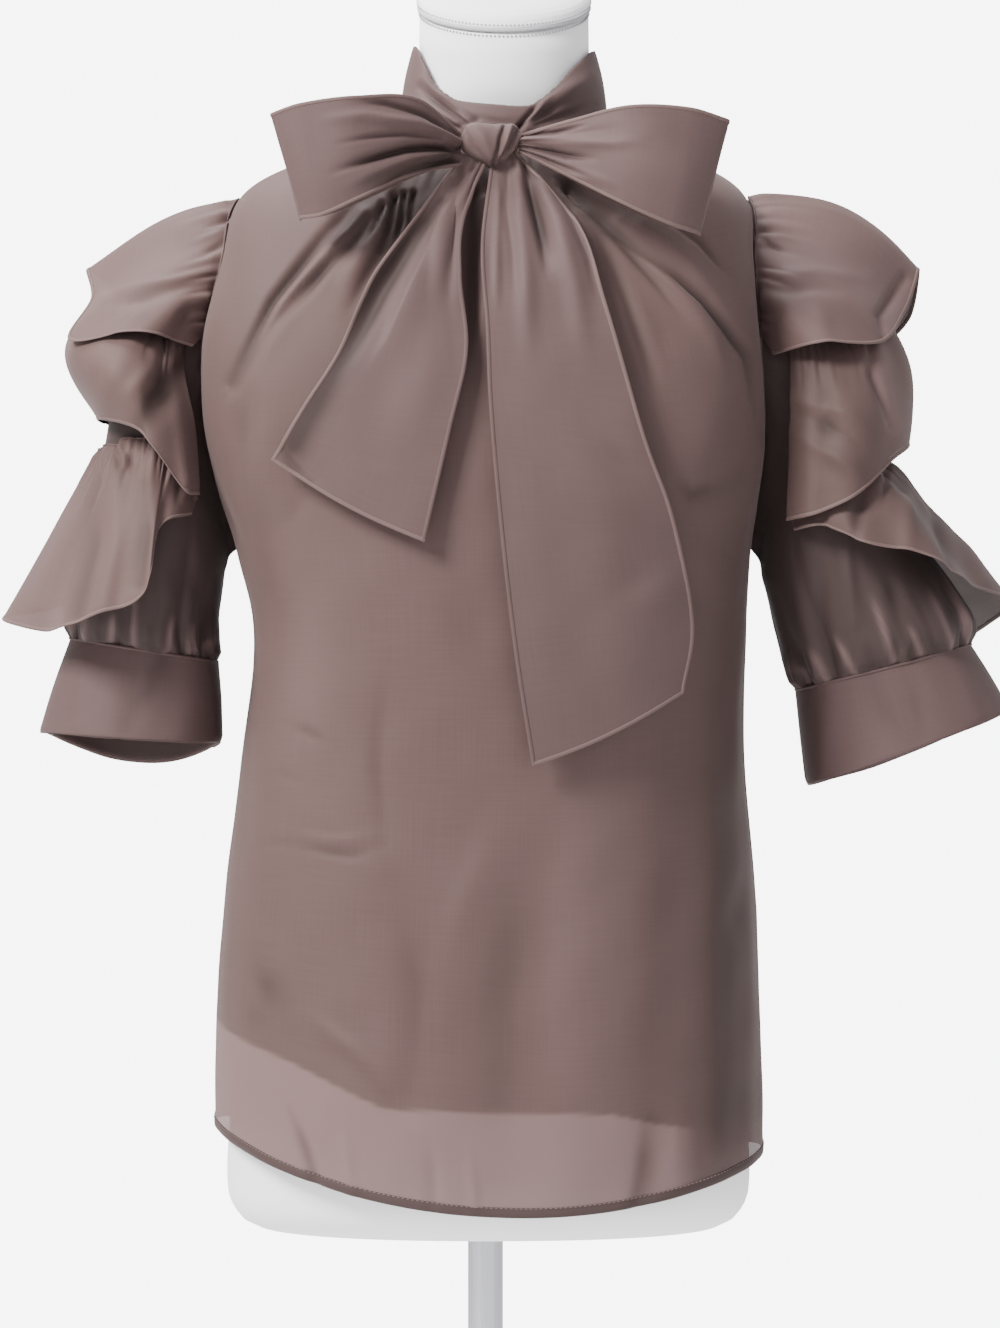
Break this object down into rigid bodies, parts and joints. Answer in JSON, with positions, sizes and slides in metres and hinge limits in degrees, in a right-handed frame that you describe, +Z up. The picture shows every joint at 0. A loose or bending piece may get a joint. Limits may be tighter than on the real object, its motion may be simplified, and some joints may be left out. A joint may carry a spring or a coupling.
{
  "type": "bow-neck blouse on dress form",
  "caption": "Sheer blouse with a stand collar tied in a large bow and tiered ruffle sleeves, displayed on a limbless dress form with a pole and a round base.",
  "frame": {"origin": "on the floor under the middle of the base plate, on the pole's axis", "axes": "+Z up, the blouse's front faces -Y, +X is the viewer's right from the front"},
  "size_m": [0.6457, 0.33, 1.4225],
  "materials": {
    "organza": "sheer dusty mauve organza with a soft sheen",
    "lining": "plain woven lining, matt",
    "jersey": "white stretch jersey cover, smooth",
    "satin_steel": "satin",
    "button": "satin"
  },
  "bodies": {
    "root": {"front": "organza", "back_left": "organza", "back_right": "organza", "lining_front": "lining", "lining_back": "lining", "collar": "organza", "bow_knot": "organza", "bow_loop_left": "organza", "bow_loop_right": "organza", "bow_tail_left": "organza", "bow_tail_right": "organza", "sleeve_left": "organza", "sleeve_right": "organza", "cuff_left": "organza", "cuff_right": "organza", "ruffle_1_left": "organza", "ruffle_2_left": "organza", "ruffle_3_left": "organza", "ruffle_1_right": "organza", "ruffle_2_right": "organza", "ruffle_3_right": "organza", "neck_button": "button", "form_torso": "jersey", "form_neck_cap": "jersey", "form_pole": "satin_steel", "form_base": "satin_steel"}
  },
  "joints": []
}
